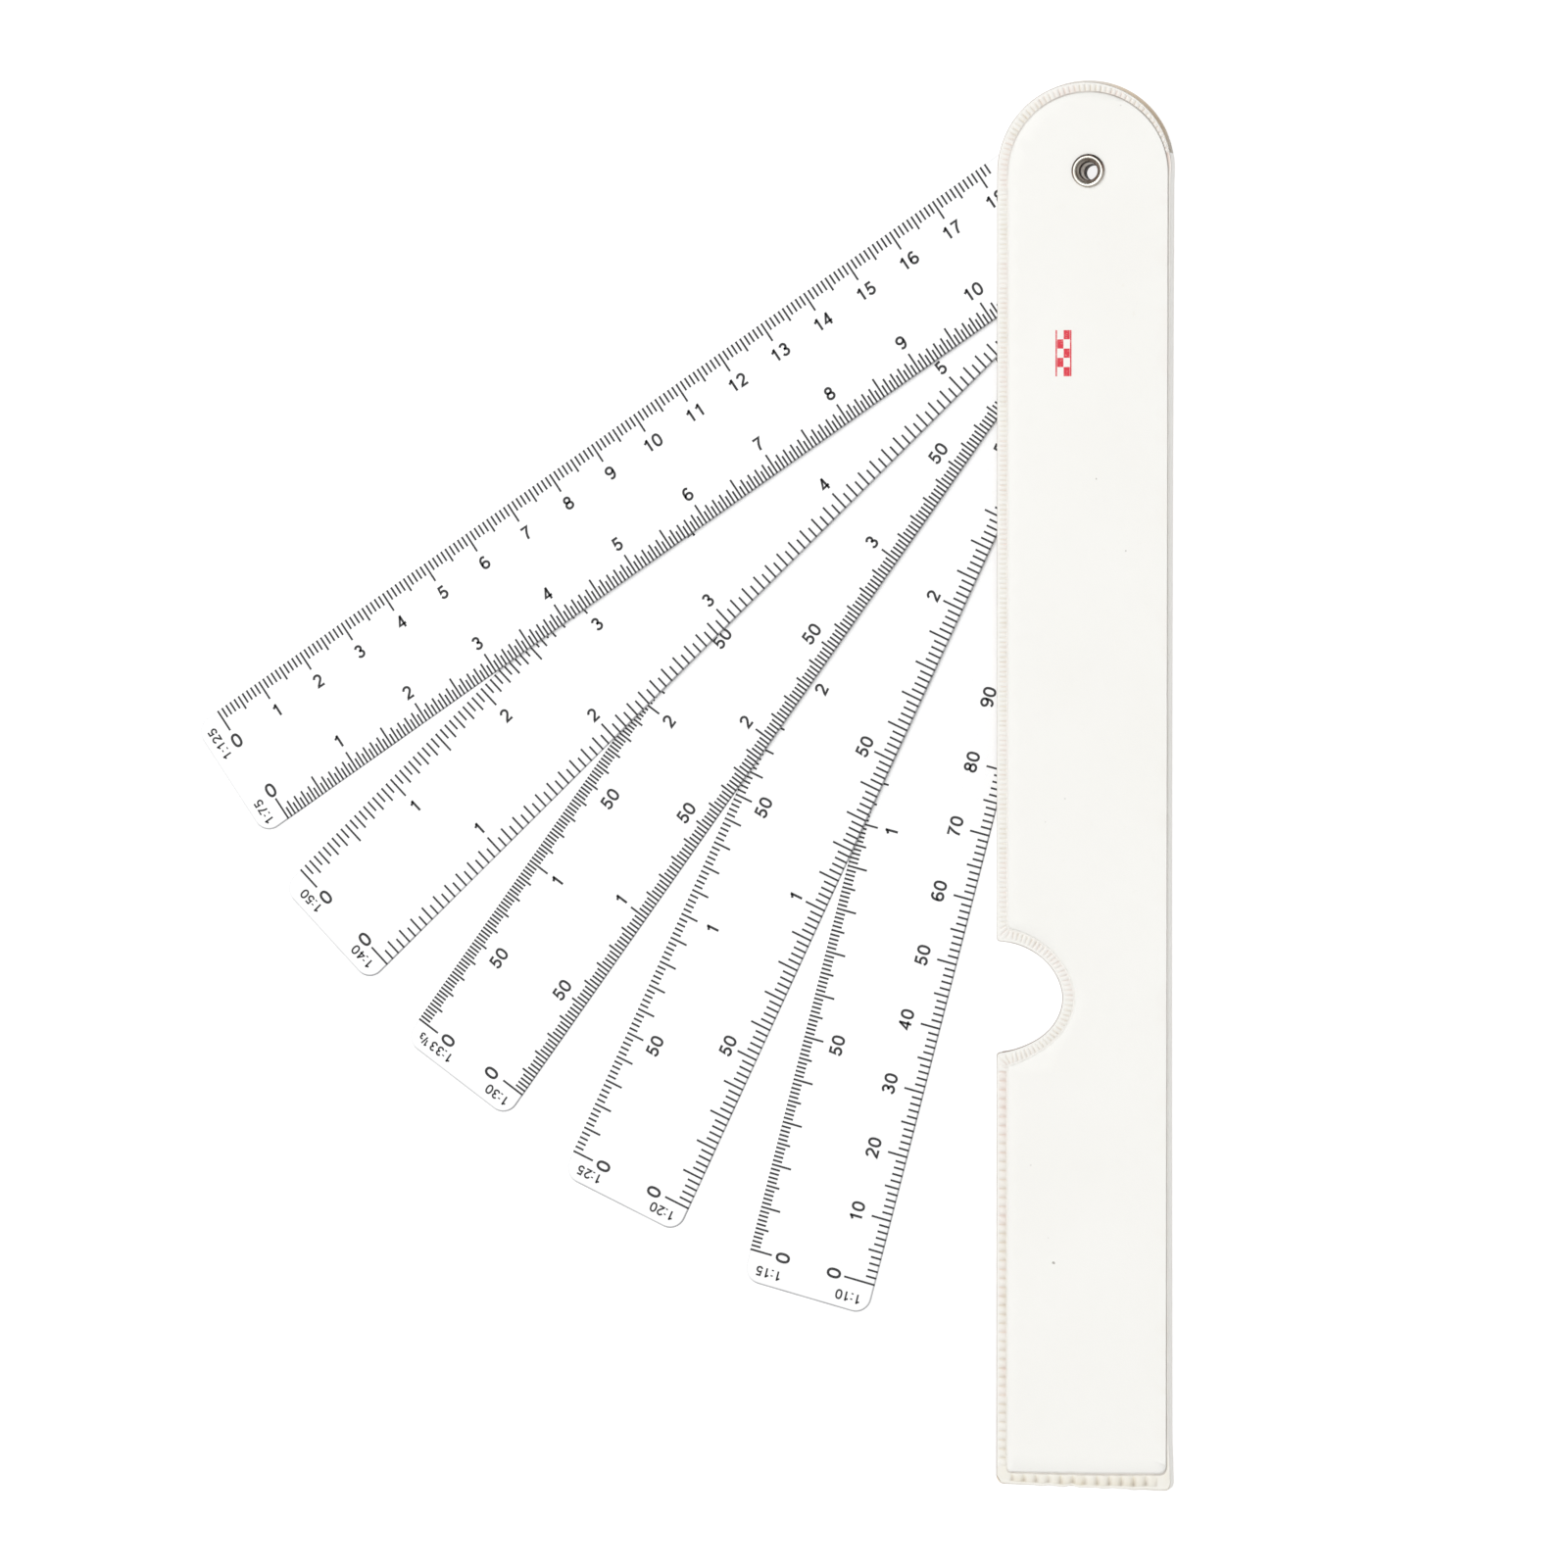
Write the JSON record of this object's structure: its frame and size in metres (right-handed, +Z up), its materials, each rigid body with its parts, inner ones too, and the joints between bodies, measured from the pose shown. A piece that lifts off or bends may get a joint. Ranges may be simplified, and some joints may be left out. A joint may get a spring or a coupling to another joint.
{
  "type": "fan scale ruler",
  "caption": "Pocket fan scale ruler: thin graduated blades on one hollow eyelet swing out of a folded, welded vinyl case with a thumb notch and a rounded pivot end.",
  "frame": {"origin": "on the eyelet's axis, in the plane that the back of the case rests on", "axes": "+Z up out of the front cover along the pivot axis, +Y from the case's foot to its rounded eyelet end, +X to the folded spine"},
  "size_m": [0.1515, 0.2093, 0.0038],
  "materials": {
    "vinyl": "off-white soft PVC film, satin, fine grain, ribbed heat weld along the edges",
    "lining": "thin clear-white PVC lining film, slightly yellowed",
    "card": "grey-brown stiffening card, uncoated",
    "nickel": "nickel-plated brass, polished, lightly worn",
    "blade_plastic": "white rigid PVC sheet, satin gloss, black printed scales"
  },
  "bodies": {
    "case": {"front_cover": "vinyl", "front_stiffener": "card", "front_lining": "lining", "back_cover": "vinyl", "back_stiffener": "card", "back_lining": "lining", "spine_fold": "vinyl", "eyelet": "nickel", "eyelet_washer": "nickel"},
    "scale_blade_1": {"scale_blade_1": "blade_plastic"},
    "scale_blade_2": {"scale_blade_2": "blade_plastic"},
    "scale_blade_3": {"scale_blade_3": "blade_plastic"},
    "scale_blade_4": {"scale_blade_4": "blade_plastic"},
    "scale_blade_5": {"scale_blade_5": "blade_plastic"}
  },
  "joints": [
    {"name": "blade_1_swing", "type": "hinge", "parent": "case", "child": "scale_blade_1", "pos_m": [0, 0, 0], "axis": [0, 0, 1], "range_deg": [-147.3, 55.7]},
    {"name": "blade_2_swing", "type": "hinge", "parent": "case", "child": "scale_blade_2", "pos_m": [0, 0, 0], "axis": [0, 0, 1], "range_deg": [-157, 46]},
    {"name": "blade_3_swing", "type": "hinge", "parent": "case", "child": "scale_blade_3", "pos_m": [0, 0, 0], "axis": [0, 0, 1], "range_deg": [-167.2, 35.8]},
    {"name": "blade_4_swing", "type": "hinge", "parent": "case", "child": "scale_blade_4", "pos_m": [0, 0, 0], "axis": [0, 0, 1], "range_deg": [-177.9, 25.1]},
    {"name": "blade_5_swing", "type": "hinge", "parent": "case", "child": "scale_blade_5", "pos_m": [0, 0, 0], "axis": [0, 0, 1], "range_deg": [-188.4, 14.6]}
  ]
}
